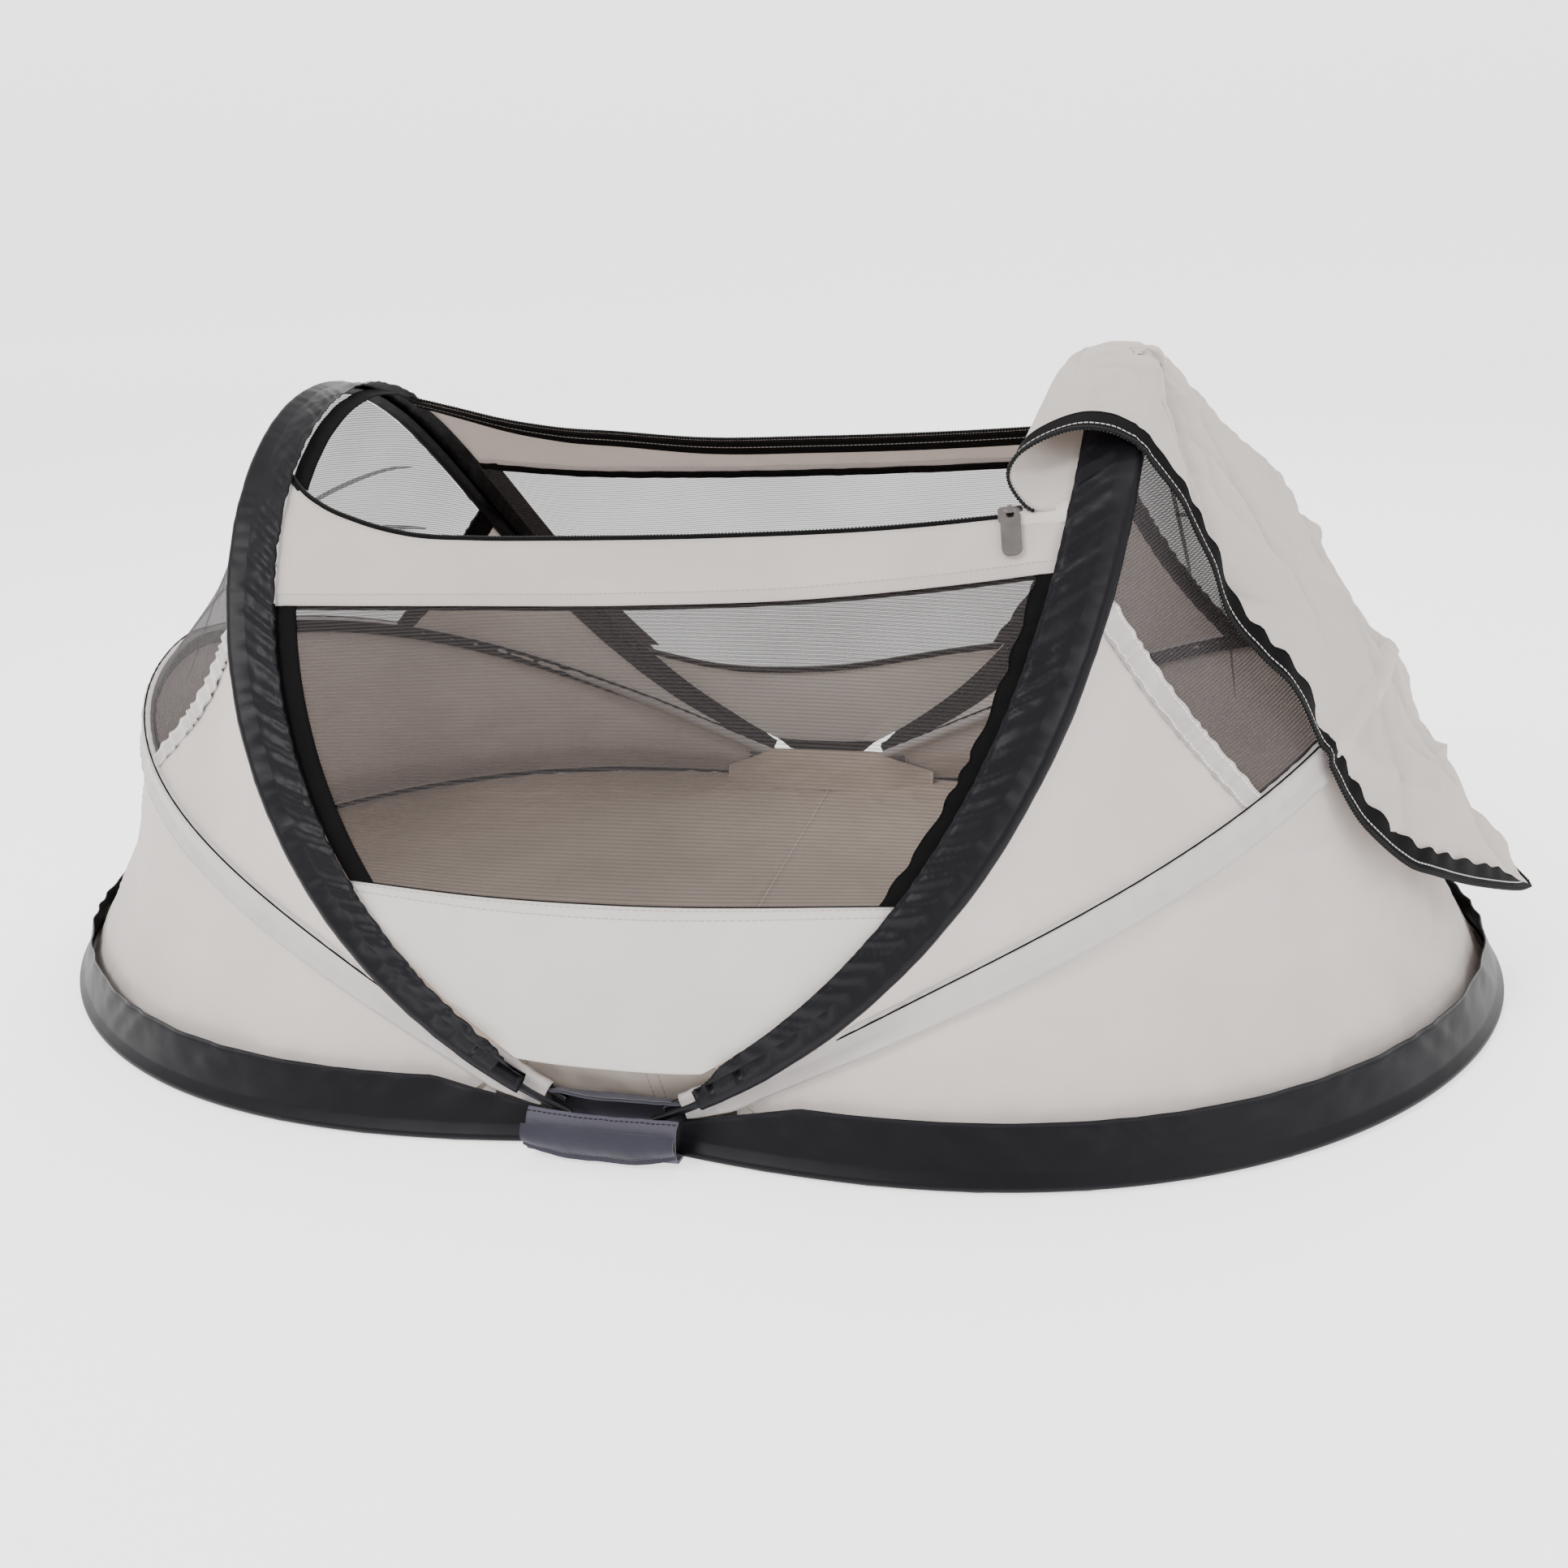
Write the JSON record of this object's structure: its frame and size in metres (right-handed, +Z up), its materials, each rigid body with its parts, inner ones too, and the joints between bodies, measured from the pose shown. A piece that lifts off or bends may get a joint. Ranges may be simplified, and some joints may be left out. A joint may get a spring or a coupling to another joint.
{
  "type": "pop-up travel playpen",
  "caption": "Low pop-up travel playpen of sprung wire hoops under cream cloth and mesh, with a zipped roof flap thrown back over one end.",
  "frame": {"origin": "on the floor, where the hinge line crosses the middle of the playpen", "axes": "+X along the length towards the end that the roof flap hangs over, -Y towards the front side with the zip slider, +Z up"},
  "size_m": [1.2324, 0.7262, 0.48],
  "materials": {
    "spring_wire": "bare sprung wire",
    "sleeve_cloth": "dark navy satin nylon",
    "silver_tape": "silver grey binding tape",
    "cream_cloth": "thin cream polyester",
    "floor_cloth": "beige coated cloth",
    "mesh": "fine dark netting",
    "zip_tape": "black woven zip tape",
    "wrap_cloth": "padded grey blue cloth",
    "zip_metal": "cast metal"
  },
  "bodies": {
    "base_left": {"base_wire_left": "spring_wire", "base_sleeve_left": "sleeve_cloth", "floor_left": "floor_cloth", "end_wall_left": "cream_cloth", "hinge_wrap_front": "wrap_cloth", "hinge_wrap_back": "wrap_cloth", "wrap_cover_front": "wrap_cloth", "wrap_cover_back": "wrap_cloth"},
    "hoops_left": {"lower_wire_left": "spring_wire", "main_wire_left": "spring_wire", "main_sleeve_left": "sleeve_cloth", "lower_tape_left": "silver_tape", "end_window_left": "mesh", "rim_zip_end": "zip_tape", "end_gusset_front_left": "cream_cloth", "end_gusset_back_left": "cream_cloth", "end_seam_front_left": "silver_tape", "end_seam_back_left": "silver_tape"},
    "hoops_right": {"lower_wire_right": "spring_wire", "main_wire_right": "spring_wire", "main_sleeve_right": "sleeve_cloth", "lower_tape_right": "silver_tape", "end_window_right": "mesh", "flap_root": "cream_cloth", "end_gusset_front_right": "cream_cloth", "end_gusset_back_right": "cream_cloth", "end_seam_front_right": "silver_tape", "end_seam_back_right": "silver_tape", "side_panel_front": "cream_cloth", "side_panel_back": "cream_cloth", "side_window_front": "mesh", "side_window_back": "mesh", "side_strip_front": "cream_cloth", "side_strip_back": "cream_cloth", "rim_zip_front": "zip_tape", "rim_zip_back": "zip_tape", "skirt_front": "cream_cloth", "skirt_back": "cream_cloth"},
    "base_right": {"base_wire_right": "spring_wire", "base_sleeve_right": "sleeve_cloth", "floor_right": "floor_cloth", "end_wall_right": "cream_cloth"},
    "flap": {"roof_flap": "cream_cloth"},
    "slider": {"zip_slider": "zip_metal"},
    "pull_tab": {"zip_pull_tab": "zip_metal"}
  },
  "joints": [
    {"name": "left_hoops_fold", "type": "hinge", "parent": "base_left", "child": "hoops_left", "pos_m": [0, 0, 0.008], "axis": [0, -1, 0], "range_deg": [0, 14], "deforming": ["end_wall_left", "base_sleeve_left", "lower_tape_left", "hinge_wrap_front", "hinge_wrap_back", "wrap_cover_front", "wrap_cover_back", "skirt_front", "skirt_back"]},
    {"name": "middle_fold", "type": "hinge", "parent": "hoops_left", "child": "hoops_right", "pos_m": [0, 0, 0.008], "axis": [0, -1, 0], "range_deg": [0, 60], "deforming": ["side_panel_front", "side_panel_back", "side_window_front", "side_window_back", "side_strip_front", "side_strip_back", "rim_zip_front", "rim_zip_back", "rim_zip_end", "hinge_wrap_front", "hinge_wrap_back", "wrap_cover_front", "wrap_cover_back", "skirt_front", "skirt_back"]},
    {"name": "right_base_fold", "type": "hinge", "parent": "hoops_right", "child": "base_right", "pos_m": [0, 0, 0.008], "axis": [0, -1, 0], "range_deg": [0, 12], "deforming": ["end_wall_right", "base_sleeve_right", "lower_tape_right", "roof_flap", "hinge_wrap_front", "hinge_wrap_back", "wrap_cover_front", "wrap_cover_back", "skirt_front", "skirt_back"]},
    {"name": "flap_throw", "type": "hinge", "parent": "hoops_right", "child": "flap", "pos_m": [0.336, 0, 0.482], "axis": [0, -1, 0], "range_deg": [0, 225], "deforming": ["roof_flap", "flap_root"]},
    {"name": "zip_travel", "type": "hinge", "parent": "hoops_right", "child": "slider", "pos_m": [0, 1.25594, 1.79994], "axis": [0, 0.7071, -0.7071], "range_deg": [0, 12.6]},
    {"name": "pull_tab_swing", "type": "hinge", "parent": "slider", "child": "pull_tab", "pos_m": [0.24588, -0.16326, 0.38795], "axis": [-0.9925, -0.0862, -0.0862], "range_deg": [0, 150]}
  ],
  "couplings": [
    {"joint": "left_hoops_fold", "follows": "middle_fold", "ratio": 0.23333},
    {"joint": "right_base_fold", "follows": "middle_fold", "ratio": 0.2}
  ]
}
